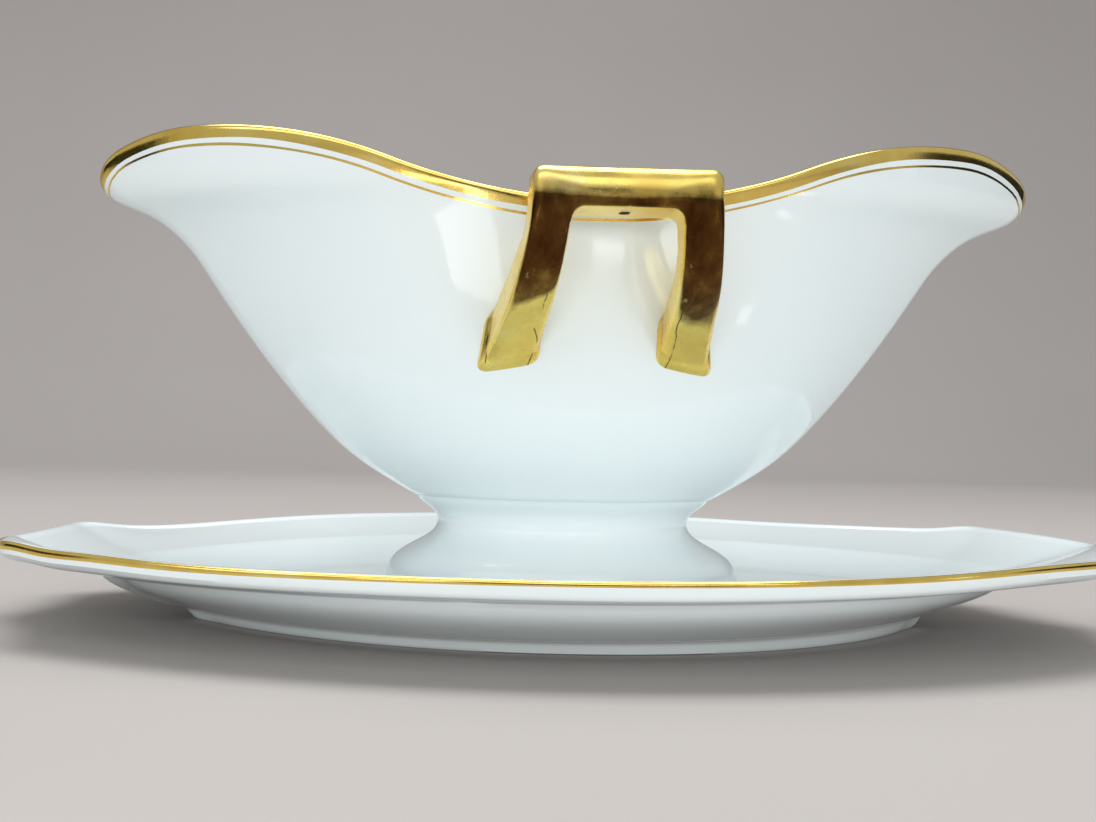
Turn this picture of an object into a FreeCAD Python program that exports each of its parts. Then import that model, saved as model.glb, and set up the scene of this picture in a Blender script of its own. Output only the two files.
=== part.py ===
# Double-lipped sauce boat on an attached stand, glazed porcelain with gilded bracket handles.
# Millimetres.  +X runs along the stand's length, +Y to the rear handle, +Z up.
# The origin is the middle of the stand's foot-ring plane, the surface it rests on.
import FreeCAD, Part
import math
import os
import re

import Sketcher
from FreeCAD import Placement, Rotation, Vector

doc = FreeCAD.newDocument("sauce_boat")

# ---------------------------------------------------------------------------
# Driving dimensions.  A "reach" is half a length and a "beam" is half a width.
# ---------------------------------------------------------------------------
SIZES = {
    # stand: an oval dish with four soft corners and a pointed tip at each end
    "rim_reach": 125.0,
    "rim_beam": 79.0,
    "rim_thickness": 3.2,
    "rim_bevel": 0.9,
    "corner_setback": 9.5,
    "corner_beam": 39.0,
    "tip_hollow": 2.4,
    "ring_reach": 81.0,
    "ring_beam": 42.0,
    "ring_wall": 5.0,
    "ring_height": 3.8,
    "ring_corner_setback": 8.0,
    "ring_corner_beam": 14.0,
    "ring_tip_hollow": 0.3,
    "step_height": 7.6,
    "step_overhang": 3.6,
    "step_swell": 2.0,
    "roll_height": 7.7,
    "roll_share": 0.47,
    "roll_swell": 2.0,
    "recess_depth": 4.2,
    "well_floor": 4.4,
    "well_spread": 6.0,
    "shelf_rise": 5.4,
    # pedestal foot: a hollow oval collar, waisted between the stand and the bowl
    "flange_edge": 1.8,
    "flange_thickness": 1.0,
    "base_reach": 39.2,
    "base_beam": 27.5,
    "shoulder_rise": 3.0,
    "shoulder_taper": 0.9,
    "knee_rise": 4.4,
    "knee_reach": 32.6,
    "knee_beam": 22.4,
    "waist_rise": 5.6,
    "waist_reach": 27.8,
    "waist_beam": 18.6,
    "top_rise": 5.8,
    "top_reach": 32.4,
    "top_beam": 22.2,
    "collar_wall": 3.2,
    # bowl: each level line has a rise from the one below, a share of the lip's reach,
    # a beam and an end radius
    "bowl_wall": 3.0,
    "bowl_floor": 4.0,
    "seat_edge": 0.6,
    "bilge_rise": 6.5,
    "bilge_share": 0.423,
    "bilge_beam": 28.5,
    "bilge_end": 15.0,
    "belly_rise": 10.0,
    "belly_share": 0.534,
    "belly_beam": 33.5,
    "belly_end": 13.0,
    "side_rise": 15.0,
    "side_share": 0.655,
    "side_beam": 37.0,
    "side_end": 10.5,
    "neck_rise": 16.0,
    "neck_share": 0.764,
    "neck_beam": 39.0,
    "neck_end": 8.5,
    "throat_rise": 9.5,
    "throat_share": 0.845,
    "throat_beam": 40.2,
    "throat_end": 8.0,
    "flare_rise": 5.5,
    "flare_share": 0.944,
    "flare_beam": 41.0,
    "flare_end": 9.0,
    "lip_rise": 5.5,
    "lip_reach": 104.4,
    "lip_beam": 41.8,
    "lip_end": 10.0,
    "head_rise": 10.0,
    "head_spread": 1.2,
    # sheer line of the bowl's rim: low amidships, a crest near each lip
    "sheer_dip": 8.0,
    "crest_rise": 8.0,
    "crest_setback": 22.0,
    "crest_radius": 108.0,
    "lip_fall_radius": 42.0,
    "nose_radius": 9.4,
    "nose_margin": 0.2,
    "sheer_clearance": 6.0,
    "rim_round": 0.8,
    # bracket handles: a flat strip bent outwards and cut to a square arch
    "handle_reach": 62.0,
    "handle_above_rim": 2.3,
    "arch_beam": 17.3,
    "arch_splay_radius": 120.0,
    "bar_height": 7.3,
    "leg_width": 7.2,
    "leg_taper": 3.6,
    "window_corner": 2.2,
    "strip_depth": 8.2,
    "strip_drop": 3.2,
    "bend_radius": 25.5,
    "bend_angle": 57.0,
    "tail_run": 24.0,
    "arch_corner": 2.0,
    "edge_round": 1.1,
    "vent_radius": 0.9,
    "vent_depth": 2.5,
    "vent_setback": 5.4,
}

# Levels and places that several pieces share, as formulas of the sizes above.
SHARED = {
    "step_level": "ring_height",
    "roll_level": "step_level + step_height",
    "rim_level": "roll_level + roll_height",
    "well_level": "recess_depth + well_floor",
    "shelf_level": "well_level + shelf_rise",
    "base_level": "well_level + flange_thickness",
    "shoulder_level": "base_level + shoulder_rise",
    "knee_level": "shoulder_level + knee_rise",
    "waist_level": "knee_level + waist_rise",
    "seat_level": "waist_level + top_rise",
    "bilge_level": "seat_level + bilge_rise",
    "belly_level": "bilge_level + belly_rise",
    "side_level": "belly_level + side_rise",
    "neck_level": "side_level + neck_rise",
    "throat_level": "neck_level + throat_rise",
    "flare_level": "throat_level + flare_rise",
    "lip_level": "flare_level + lip_rise",
    "bilge_reach": "lip_reach * bilge_share",
    "belly_reach": "lip_reach * belly_share",
    "side_reach": "lip_reach * side_share",
    "neck_reach": "lip_reach * neck_share",
    "throat_reach": "lip_reach * throat_share",
    "flare_reach": "lip_reach * flare_share",
    "head_level": "lip_level + head_rise",
    "seat_reach": "top_reach + seat_edge",
    "seat_beam": "top_beam + seat_edge",
    "low_level": "lip_level - sheer_dip",
    "crest_level": "lip_level + crest_rise",
    "crest_reach": "lip_reach - crest_setback",
    "handle_level": "low_level + handle_above_rim",
}

sheet = doc.addObject("Spreadsheet::Sheet", "sizes")
CELLS = {**SIZES, **{name: "=" + formula for name, formula in SHARED.items()}}
for row, (name, content) in enumerate(CELLS.items(), start=1):
    sheet.set(f"A{row}", name)
    sheet.set(f"B{row}", str(content))
    sheet.setAlias(f"B{row}", name)
doc.recompute()


def bound(formula):
    """The formula with every size name pointing at its cell."""
    return re.sub(r"[a-z]\w+\b(?!\()", lambda word: "sizes." + word.group(), formula)


def value(formula):
    """What the formula comes to now; used to draw a sketch near its solution."""
    return float(sheet.evalExpression(bound(formula)))


# ---------------------------------------------------------------------------
# Sketch helpers
# ---------------------------------------------------------------------------
def new_sketch(body, name, role, level=None):
    """A sketch on one of the body's own planes, raised to a level."""
    plane = next(item for item in body.Origin.OriginFeatures if item.Role == role)
    sketch = body.newObject("Sketcher::SketchObject", name)
    sketch.AttachmentSupport = [(plane, "")]
    sketch.MapMode = "FlatFace"
    if level is not None:
        sketch.setExpression("AttachmentOffset.Base.z", bound(level))
    return sketch


def dimension(sketch, kind, *where, formula):
    """A dimensional constraint that follows a formula of the sizes."""
    amount = value(formula)
    if kind == "Angle":
        index = sketch.addConstraint(Sketcher.Constraint(kind, *where, math.radians(amount)))
        sketch.setExpression(f"Constraints[{index}]", f"({bound(formula)}) * 1 deg")
        return
    index = sketch.addConstraint(Sketcher.Constraint(kind, *where, amount))
    sketch.setExpression(f"Constraints[{index}]", bound(formula))


def constrain(sketch, kind, *where):
    """A geometric constraint, such as tangent edges or a point on an axis."""
    sketch.addConstraint(Sketcher.Constraint(kind, *where))


START, END, CENTRE = range(1, 4)
X_AXIS, Y_AXIS = range(-1, -3, -1)


def mirror(point):
    """The same place on the other side of a sketch's vertical axis."""
    return Vector(-point.x, point.y, 0)


def join_by_arc(sketch, centre, first, second):
    """The shorter arc between two points, with which of its ends lies at each of them."""
    start, stop = (math.atan2(point.y - centre.y, point.x - centre.x) for point in (first, second))
    sweep = (stop - start) % (2 * math.pi)
    circle = Part.Circle(centre, Vector(0, 0, 1), first.distanceToPoint(centre))
    if sweep < math.pi:
        return sketch.addGeometry(Part.ArcOfCircle(circle, start, start + sweep)), START, END
    return sketch.addGeometry(Part.ArcOfCircle(circle, stop, start + 2 * math.pi)), END, START


def join_by_line(sketch, first, second):
    """A straight edge, in the same form as an arc's."""
    return sketch.addGeometry(Part.LineSegment(first, second)), START, END


def close_loop(sketch, edges, smooth=()):
    """Joins each edge to the next: tangent at the places named in smooth, else only touching."""
    for place, (this, following) in enumerate(zip(edges, edges[1:] + edges[:1])):
        kind = "Tangent" if place in smooth else "Coincident"
        constrain(sketch, kind, this[0], this[2], following[0], following[1])


def navette(body, name, level, reach, beam, end):
    """A closed oval of four tangent arcs: two long sides and two rounded ends."""
    sketch = new_sketch(body, name, "XY_Plane", level)
    side = (
        f"(({reach})^2 - 2 * ({reach}) * ({end}) + ({beam})^2)"
        f" / (2 * (({beam}) - ({end})))"
    )
    tip, half, small, large = (value(formula) for formula in (reach, beam, end, side))
    turn = math.atan2(large - half, tip - small)
    joint = Vector(tip - small + small * math.cos(turn), small * math.sin(turn), 0)
    joints = [Vector(joint.x * sx, joint.y * sy, 0) for sx, sy in ((1, 1), (-1, 1), (-1, -1), (1, -1))]
    ne, nw, sw, se = joints
    rear = join_by_arc(sketch, Vector(0, half - large, 0), ne, nw)
    left = join_by_arc(sketch, Vector(small - tip, 0, 0), nw, sw)
    front = join_by_arc(sketch, Vector(0, large - half, 0), sw, se)
    right = join_by_arc(sketch, Vector(tip - small, 0, 0), se, ne)
    close_loop(sketch, [rear, left, front, right], smooth=(0, 1, 2, 3))
    for ends in (right, left):
        constrain(sketch, "PointOnObject", ends[0], CENTRE, X_AXIS)
        dimension(sketch, "Radius", ends[0], formula=end)
    for sides in (rear, front):
        dimension(sketch, "Radius", sides[0], formula=side)
    constrain(sketch, "PointOnObject", rear[0], CENTRE, Y_AXIS)
    dimension(sketch, "DistanceX", X_AXIS, START, right[0], CENTRE, formula=f"({reach}) - ({end})")
    return sketch


def oval(body, name, level, reach, beam):
    """A navette whose ends are as round as an ellipse's."""
    return navette(body, name, level, reach, beam, f"({beam})^2 / ({reach})")


def dish_outline(body, name, level, reach, beam, setback, corner, hollow):
    """Two long side arcs whose four corners are joined to the tips by slightly hollow arcs."""
    sketch = new_sketch(body, name, "XY_Plane", level)
    across = f"(({reach}) - ({setback}))"
    bow = f"(({beam}) - ({corner}))"
    side = f"({across}^2 + {bow}^2) / (2 * {bow})"
    bracket = f"((({setback})^2 + ({corner})^2) / 4 + ({hollow})^2) / (2 * ({hollow}))"
    tip = Vector(value(reach), 0, 0)
    knuckle = Vector(value(across), value(corner), 0)
    outward = Vector(knuckle.y, tip.x - knuckle.x, 0).normalize()
    beyond = (tip + knuckle) * 0.5 + outward * (value(bracket) - value(hollow))
    side_centre = Vector(0, value(beam) - value(side), 0)

    def at(point, sx, sy):
        return Vector(point.x * sx, point.y * sy, 0)

    loop = []
    for sx, sy in ((1, 1), (-1, 1), (-1, -1), (1, -1)):
        ends = [at(tip, sx, 1), at(knuckle, sx, sy)]
        if sx != sy:
            ends.reverse()
        loop.append(join_by_arc(sketch, at(beyond, sx, sy), *ends))
        if sx == sy:
            centre = at(side_centre, 1, sy)
            loop.append(join_by_arc(sketch, centre, ends[1], at(ends[1], -1, 1)))
    close_loop(sketch, loop)
    ne, rear, nw, sw, front, se = loop
    for edge in (ne, nw, sw, se):
        dimension(sketch, "Radius", edge[0], formula=bracket)
    for edge in (rear, front):
        dimension(sketch, "Radius", edge[0], formula=side)
    for edge, sign in ((rear, ""), (front, "-")):
        constrain(sketch, "PointOnObject", edge[0], CENTRE, Y_AXIS)
        dimension(sketch, "DistanceX", X_AXIS, START, edge[0], edge[1], formula=f"{sign}{across}")
        for corner_end in edge[1:]:
            height = f"{sign}({corner})"
            dimension(sketch, "DistanceY", X_AXIS, START, edge[0], corner_end, formula=height)
    for edge, far in ((ne, f"({reach})"), (sw, f"-({reach})")):
        constrain(sketch, "PointOnObject", edge[0], edge[1], X_AXIS)
        dimension(sketch, "DistanceX", X_AXIS, START, edge[0], edge[1], formula=far)
    return sketch


def loft(body, name, sections, cut=False, ruled=False):
    """A solid through level sections, added to the body or cut from it."""
    kind = "PartDesign::SubtractiveLoft" if cut else "PartDesign::AdditiveLoft"
    feature = body.newObject(kind, name)
    feature.Profile = sections[0]
    feature.Sections = sections[1:]
    feature.Ruled = ruled
    body.Tip = feature
    return feature


def new_body(name):
    body = doc.addObject("PartDesign::Body", name)
    body.Label = name
    return body


# ---------------------------------------------------------------------------
# Stand: foot ring, a convex step, a convex roll up to the rim, a stepped dish inside
# ---------------------------------------------------------------------------
RING = ("ring_reach", "ring_beam", "ring_corner_setback", "ring_corner_beam", "ring_tip_hollow")
RIM = ("rim_reach", "rim_beam", "corner_setback", "corner_beam", "tip_hollow")


def between(share, spread="0"):
    """An outline part of the way from the foot ring's to the rim's, widened by spread."""
    mixed = [f"({low}) * (1 - ({share})) + ({high}) * ({share})" for low, high in zip(RING, RIM)]
    mixed[0] += f" + {spread}"
    mixed[1] += f" + {spread}"
    return mixed


def build_stand():
    body = new_body("stand")

    def line(name, level, outline):
        return dish_outline(body, name, level, *outline)

    foot = line("foot_line", "0", RING)
    step = line("step_line", "step_level", between("0", "step_overhang"))
    swell_spread = "step_overhang * 0.6 + step_swell"
    step_swell = line("step_swell_line", "step_level + step_height * 0.4", between("0.18", swell_spread))
    roll = line("roll_line", "roll_level", between("roll_share"))
    curl = line("roll_swell_line", "roll_level + roll_height * 0.4", between("0.75", "roll_swell"))
    rim = line("rim_line", "rim_level - rim_bevel", RIM)
    lip = line("rim_top_line", "rim_level", between("1", "-rim_bevel"))
    loft(body, "foot_ring", [foot, step], ruled=True)
    loft(body, "step_tier", [step, step_swell, roll])
    loft(body, "rim_roll", [roll, curl, rim])
    loft(body, "rim_edge", [rim, lip], ruled=True)

    well = line("well_line", "well_level", between("0", "well_spread"))
    shelf = line("shelf_line", "shelf_level", between("roll_share"))
    slope = line("slope_line", "(shelf_level + rim_level) / 2", between("0.75", "-rim_thickness * 0.4"))
    mouth = line("mouth_line", "rim_level", between("1", "-rim_thickness"))
    loft(body, "well_dish", [well, shelf], cut=True, ruled=True)
    loft(body, "rim_dish", [shelf, slope, mouth], cut=True)

    inner = list(RING)
    inner[0] += " - ring_wall"
    inner[1] += " - ring_wall"
    inner[3] += " - ring_wall * 0.4"
    recess = body.newObject("PartDesign::Pocket", "underside_recess")
    recess.Profile = line("recess_line", "0", inner)
    recess.Reversed = True
    recess.setExpression("Length", bound("recess_depth"))
    body.Tip = recess
    return body


# ---------------------------------------------------------------------------
# Pedestal foot: a waisted oval collar, open inside, with a thin flange on the well floor
# ---------------------------------------------------------------------------
def build_pedestal():
    body = new_body("pedestal_foot")
    profile = [
        ("base", "base_level", "base_reach", "base_beam"),
        ("shoulder", "shoulder_level", "base_reach - shoulder_taper", "base_beam - shoulder_taper"),
        ("knee", "knee_level", "knee_reach", "knee_beam"),
        ("waist", "waist_level", "waist_reach", "waist_beam"),
        ("top", "seat_level", "top_reach", "top_beam"),
    ]
    hem = "flange_edge"
    flange = [
        oval(body, "flange_line", "well_level", f"base_reach + {hem}", f"base_beam + {hem}"),
        oval(body, "flange_top_line", "base_level", "base_reach", "base_beam"),
    ]
    outside = [oval(body, f"{name}_line", *rest) for name, *rest in profile]
    loft(body, "flange", flange, ruled=True)
    loft(body, "collar", outside)

    def thinner(size):
        return f"{size} - collar_wall"

    hollow = [oval(body, "floor_hole", "well_level", thinner("base_reach"), thinner("base_beam"))]
    hollow += [
        oval(body, f"{name}_hole", level, thinner(reach), thinner(beam))
        for name, level, reach, beam in profile[1:]
    ]
    loft(body, "hollow", hollow, cut=True)
    return body


# ---------------------------------------------------------------------------
# Bowl: level lines from the seat to the head, cut to the sheer line
# ---------------------------------------------------------------------------
LEVEL_LINES = ("bilge", "belly", "side", "neck", "throat", "flare", "lip")


def hull_lines(body, inset="0"):
    """The bowl's level lines above the seat, moved in by the inset."""
    rows = [(f"{n}_level", f"{n}_reach", f"{n}_beam", f"{n}_end") for n in LEVEL_LINES]
    rows.append(("head_level", "lip_reach + head_spread", "lip_beam + head_spread", "lip_end"))
    names = LEVEL_LINES + ("head",)
    return [
        navette(body, f"{name}_line", level, *(f"{size} - {inset}" for size in sizes))
        for name, (level, *sizes) in zip(names, rows)
    ]


def add_hull(body):
    """The bowl's outer form, solid and uncut."""
    seat = navette(body, "seat_line", "seat_level", "seat_reach", "seat_beam", "seat_beam^2 / seat_reach")
    return loft(body, "hull", [seat] + hull_lines(body))


def draw_sheer(body):
    """What is cut away above the rim: a valley amidships, then a crest, a fall and a nose each side."""
    sketch = new_sketch(body, "sheer_sketch", "XZ_Plane")
    climb = "(crest_level - low_level)"
    valley = f"((crest_reach^2 + {climb}^2) / (2 * {climb}) - crest_radius)"
    nose_x = "(lip_reach - nose_margin)"
    wall_x = "(lip_reach + sheer_clearance)"
    ceiling = "head_level + sheer_clearance"
    low, crest, reach = (value(size) for size in ("low_level", "crest_level", "crest_reach"))
    dip, hump, fall, tight = (
        value(size) for size in (valley, "crest_radius", "lip_fall_radius", "nose_radius")
    )

    dip_centre = Vector(0, low + dip, 0)
    hump_centre = Vector(reach, crest - hump, 0)
    fall_centre = Vector(reach, crest - fall, 0)
    out = value(nose_x) - tight - reach
    nose_centre = fall_centre + Vector(out, math.sqrt((fall - tight) ** 2 - out**2), 0)
    turn = dip_centre + (hump_centre - dip_centre) * (dip / (dip + hump))
    peak = Vector(reach, crest, 0)
    brink = fall_centre + (nose_centre - fall_centre) * (fall / (fall - tight))
    drop = nose_centre + Vector(tight, 0, 0)
    edge = Vector(value(wall_x), drop.y, 0)
    corner = Vector(edge.x, value(ceiling), 0)
    half = [
        join_by_arc(sketch, hump_centre, turn, peak),
        join_by_arc(sketch, fall_centre, peak, brink),
        join_by_arc(sketch, nose_centre, brink, drop),
        join_by_line(sketch, drop, edge),
        join_by_line(sketch, edge, corner),
    ]
    other = [
        join_by_line(sketch, mirror(corner), mirror(edge)),
        join_by_line(sketch, mirror(edge), mirror(drop)),
        join_by_arc(sketch, mirror(nose_centre), mirror(drop), mirror(brink)),
        join_by_arc(sketch, mirror(fall_centre), mirror(brink), mirror(peak)),
        join_by_arc(sketch, mirror(hump_centre), mirror(peak), mirror(turn)),
    ]
    dip_arc = join_by_arc(sketch, dip_centre, mirror(turn), turn)
    lid = join_by_line(sketch, corner, mirror(corner))
    close_loop(sketch, [dip_arc, *half, lid, *other], smooth=(0, 1, 2, 9, 10, 11))

    constrain(sketch, "PointOnObject", dip_arc[0], CENTRE, Y_AXIS)
    constrain(sketch, "Horizontal", lid[0])
    dimension(sketch, "Radius", dip_arc[0], formula=valley)
    dimension(sketch, "DistanceY", X_AXIS, START, dip_arc[0], CENTRE, formula=f"low_level + {valley}")
    dimension(sketch, "DistanceY", X_AXIS, START, lid[0], START, formula=ceiling)
    for sign, flank, near, far in (("", half, 1, 2), ("-", other[::-1], 2, 1)):
        hump_edge, fall_edge, nose, ledge, wall = flank
        dimension(sketch, "Radius", hump_edge[0], formula="crest_radius")
        dimension(sketch, "Radius", fall_edge[0], formula="lip_fall_radius")
        dimension(sketch, "Radius", nose[0], formula="nose_radius")
        constrain(sketch, "Vertical", wall[0])
        constrain(sketch, "Horizontal", ledge[0])
        constrain(sketch, "Horizontal", nose[0], CENTRE, nose[0], nose[far])
        constrain(sketch, "Vertical", hump_edge[0], CENTRE, fall_edge[0], fall_edge[near])
        places = ((fall_edge[0], fall_edge[near], "crest_reach"), (nose[0], nose[far], nose_x))
        for edge_name, end, where in (*places, (wall[0], wall[near], wall_x)):
            dimension(sketch, "DistanceX", X_AXIS, START, edge_name, end, formula=f"{sign}{where}")
    return sketch


def borders(shape, faces):
    """The names of the edges that run round the outside of a group of faces."""
    names = []
    for number, edge in enumerate(shape.Edges, start=1):
        touching = [face for face in faces if any(edge.isSame(side) for side in face.Edges)]
        if len(touching) == 1:
            names.append(f"Edge{number}")
    return names


def build_bowl():
    body = new_body("bowl")
    add_hull(body)
    rise = "bowl_floor / bilge_rise"
    reach, beam = (
        f"seat_{size} + (bilge_{size} - seat_{size}) * {rise} - bowl_wall" for size in ("reach", "beam")
    )
    floor_end = "bilge_end - bowl_wall"
    floor = navette(body, "floor_line", "seat_level + bowl_floor", reach, beam, floor_end)
    loft(body, "cavity", [floor] + hull_lines(body, "bowl_wall"), cut=True)

    trim = body.newObject("PartDesign::Pocket", "sheer")
    trim.Profile = draw_sheer(body)
    trim.Type = "ThroughAll"
    trim.Midplane = True
    body.Tip = trim
    doc.recompute()

    # The trimmed rim is the only cylindrical part of the bowl's surface.
    rim = [face for face in trim.Shape.Faces if isinstance(face.Surface, Part.Cylinder)]
    soften = body.newObject("PartDesign::Fillet", "rim_softening")
    soften.Base = (trim, borders(trim.Shape, rim))
    soften.setExpression("Radius", bound("min(rim_round; bowl_wall * 0.45)"))
    body.Tip = soften
    return body


# ---------------------------------------------------------------------------
# Handles: a flat strip, upright at the bar and bent inwards to the bowl, cut to a square arch
# ---------------------------------------------------------------------------
ARCH_FOOT = "handle_level - strip_drop - bend_radius - tail_run"


def draw_strip(body):
    """The handle's side view: a strip of even depth with one bend."""
    sketch = new_sketch(body, "side_sketch", "YZ_Plane")
    sizes = ("handle_reach", "handle_level", "strip_drop", "bend_radius", "strip_depth", "tail_run")
    reach, top, drop, bend, depth, tail = (value(size) for size in sizes)
    angle = math.radians(value("bend_angle"))
    centre = Vector(bend - reach, top - drop, 0)
    outwards = Vector(-math.cos(angle), -math.sin(angle), 0)
    along = Vector(math.sin(angle), -math.cos(angle), 0) * tail

    start_out, start_in = Vector(-reach, centre.y, 0), Vector(depth - reach, centre.y, 0)
    bent_out, bent_in = centre + outwards * bend, centre + outwards * (bend - depth)
    top_out, top_in = Vector(-reach, top, 0), Vector(depth - reach, top, 0)
    loop = [
        join_by_line(sketch, top_out, start_out),
        join_by_arc(sketch, centre, start_out, bent_out),
        join_by_line(sketch, bent_out, bent_out + along),
        join_by_line(sketch, bent_out + along, bent_in + along),
        join_by_line(sketch, bent_in + along, bent_in),
        join_by_arc(sketch, centre, bent_in, start_in),
        join_by_line(sketch, start_in, top_in),
        join_by_line(sketch, top_in, top_out),
    ]
    close_loop(sketch, loop, smooth=(0, 1, 4, 5))
    outer, outer_bend, outer_tail, end, inner_tail, inner_bend, inner, lid = (e[0] for e in loop)
    constrain(sketch, "Vertical", outer)
    constrain(sketch, "Vertical", inner)
    constrain(sketch, "Horizontal", lid)
    constrain(sketch, "Perpendicular", end, outer_tail)
    constrain(sketch, "Parallel", inner_tail, outer_tail)
    constrain(sketch, "Coincident", inner_bend, CENTRE, outer_bend, CENTRE)
    dimension(sketch, "DistanceX", X_AXIS, START, outer, START, formula="-handle_reach")
    dimension(sketch, "DistanceY", X_AXIS, START, outer, START, formula="handle_level")
    dimension(sketch, "DistanceX", lid, END, lid, START, formula="strip_depth")
    dimension(sketch, "DistanceY", outer, END, outer, START, formula="strip_drop")
    dimension(sketch, "Radius", outer_bend, formula="bend_radius")
    dimension(sketch, "Distance", outer_tail, formula="tail_run")
    dimension(sketch, "Angle", outer_tail, START, outer, END, formula="180 - bend_angle")
    return sketch


def cut_window(sketch):
    """The gap between the legs, under the bar, with rounded upper corners."""
    half_foot = "arch_beam - leg_width + leg_taper"
    half_sill = "arch_beam - leg_width - window_corner"
    sill_level = "handle_level - bar_height"
    corner, foot, sill = (value(size) for size in ("window_corner", ARCH_FOOT, sill_level))
    wide, narrow = value(half_foot), value(half_sill)
    lean = math.atan2(wide - narrow - corner, sill - corner - foot)
    centre = Vector(narrow, sill - corner, 0)
    shoulder = centre + Vector(math.cos(lean), math.sin(lean), 0) * corner
    sill_end, base = Vector(narrow, sill, 0), Vector(wide, foot, 0)
    loop = [
        join_by_line(sketch, base, shoulder),
        join_by_arc(sketch, centre, shoulder, sill_end),
        join_by_line(sketch, sill_end, mirror(sill_end)),
        join_by_arc(sketch, mirror(centre), mirror(sill_end), mirror(shoulder)),
        join_by_line(sketch, mirror(shoulder), mirror(base)),
        join_by_line(sketch, mirror(base), base),
    ]
    close_loop(sketch, loop, smooth=(0, 1, 2, 3))
    right, right_corner, top, left_corner, _, bottom = (edge[0] for edge in loop)
    constrain(sketch, "Horizontal", top)
    constrain(sketch, "Horizontal", bottom)
    for rounded in (right_corner, left_corner):
        dimension(sketch, "Radius", rounded, formula="window_corner")
    dimension(sketch, "DistanceY", X_AXIS, START, right, START, formula=ARCH_FOOT)
    dimension(sketch, "DistanceY", X_AXIS, START, top, START, formula=sill_level)
    dimension(sketch, "DistanceX", X_AXIS, START, top, START, formula=half_sill)
    dimension(sketch, "DistanceX", X_AXIS, START, top, END, formula=f"-({half_sill})")
    dimension(sketch, "DistanceX", X_AXIS, START, bottom, END, formula=half_foot)
    dimension(sketch, "DistanceX", X_AXIS, START, bottom, START, formula=f"-({half_foot})")


def cut_flank(sketch, side):
    """What is cut away outside one leg, so that it splays below a rounded corner."""
    sign = "" if side > 0 else "-"
    far_formula = "(arch_beam + arch_splay_radius)"
    names = (far_formula, "arch_splay_radius", "arch_corner", "handle_level", ARCH_FOOT)
    far, radius, small, level, foot = (value(size) for size in names)
    centre = Vector(far, level, 0)
    shoulder_centre = Vector(far - math.sqrt((radius + small) ** 2 - small**2), level - small, 0)
    top_end = shoulder_centre + Vector(0, small, 0)
    turn = centre + (shoulder_centre - centre) * (radius / (radius + small))
    base = Vector(far - math.sqrt(radius**2 - (level - foot) ** 2), foot, 0)
    corners = [top_end, turn, base, Vector(far, foot, 0), centre]
    if side < 0:
        corners, shoulder_centre = [mirror(point) for point in corners], mirror(shoulder_centre)
    top_end, turn, base, far_foot, centre = corners
    loop = [
        join_by_arc(sketch, shoulder_centre, top_end, turn),
        join_by_arc(sketch, centre, turn, base),
        join_by_line(sketch, base, far_foot),
        join_by_line(sketch, far_foot, centre),
        join_by_line(sketch, centre, top_end),
    ]
    close_loop(sketch, loop, smooth=(0, 4))
    shoulder, leg, bottom, edge, top = (item[0] for item in loop)
    constrain(sketch, "Horizontal", bottom)
    constrain(sketch, "Horizontal", top)
    constrain(sketch, "Vertical", edge)
    constrain(sketch, "Coincident", leg, CENTRE, edge, END)
    dimension(sketch, "Radius", shoulder, formula="arch_corner")
    dimension(sketch, "Radius", leg, formula="arch_splay_radius")
    dimension(sketch, "DistanceX", X_AXIS, START, edge, END, formula=f"{sign}{far_formula}")
    dimension(sketch, "DistanceY", X_AXIS, START, edge, END, formula="handle_level")
    dimension(sketch, "DistanceY", X_AXIS, START, edge, START, formula=ARCH_FOOT)


def draw_vent(body):
    """The firing vent: a small round hole up into the bar from underneath."""
    sketch = new_sketch(body, "vent_sketch", "XY_Plane", "handle_level - bar_height")
    place = "vent_setback - handle_reach"
    circle = Part.Circle(Vector(0, value(place), 0), Vector(0, 0, 1), value("vent_radius"))
    vent = sketch.addGeometry(circle)
    constrain(sketch, "PointOnObject", vent, CENTRE, Y_AXIS)
    dimension(sketch, "DistanceY", X_AXIS, START, vent, CENTRE, formula=place)
    dimension(sketch, "Radius", vent, formula="vent_radius")
    return sketch


def build_handle_blank(name):
    """A handle that still reaches into the bowl."""
    body = new_body(name)
    strip = body.newObject("PartDesign::Pad", "strip")
    strip.Profile = draw_strip(body)
    strip.Midplane = True
    strip.setExpression("Length", bound("(arch_beam + arch_splay_radius) * 2"))

    arch = new_sketch(body, "arch_sketch", "XZ_Plane")
    cut_window(arch)
    cut_flank(arch, 1)
    cut_flank(arch, -1)
    trim = body.newObject("PartDesign::Pocket", "arch_trim")
    trim.Profile = arch
    trim.Type = "ThroughAll"
    trim.Midplane = True
    body.Tip = trim
    doc.recompute()

    soften = body.newObject("PartDesign::Fillet", "edge_softening")
    soften.Base = (trim, [f"Edge{number + 1}" for number in range(len(trim.Shape.Edges))])
    soften.setExpression("Radius", bound("edge_round"))
    body.Tip = soften

    vent = body.newObject("PartDesign::Pocket", "vent")
    vent.Profile = draw_vent(body)
    vent.Reversed = True
    vent.setExpression("Length", bound("vent_depth"))
    body.Tip = vent
    return body


def seat_handle(name, turn, form):
    """A handle blank turned to its side of the bowl and cut back to the bowl's outer face."""
    blank = build_handle_blank(f"{name}_blank")
    blank.Placement = Placement(Vector(0, 0, 0), Rotation(Vector(0, 0, 1), turn))
    handle = doc.addObject("Part::Cut", name)
    handle.Base = blank
    handle.Tool = form
    handle.Label = name
    return handle


# ---------------------------------------------------------------------------
# The pieces, built and written out
# ---------------------------------------------------------------------------
bowl_form = new_body("bowl_form")
add_hull(bowl_form)
PIECES = [
    build_stand(),
    build_pedestal(),
    build_bowl(),
    seat_handle("front_handle", 0, bowl_form),
    seat_handle("rear_handle", 180, bowl_form),
]
doc.recompute()

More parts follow.
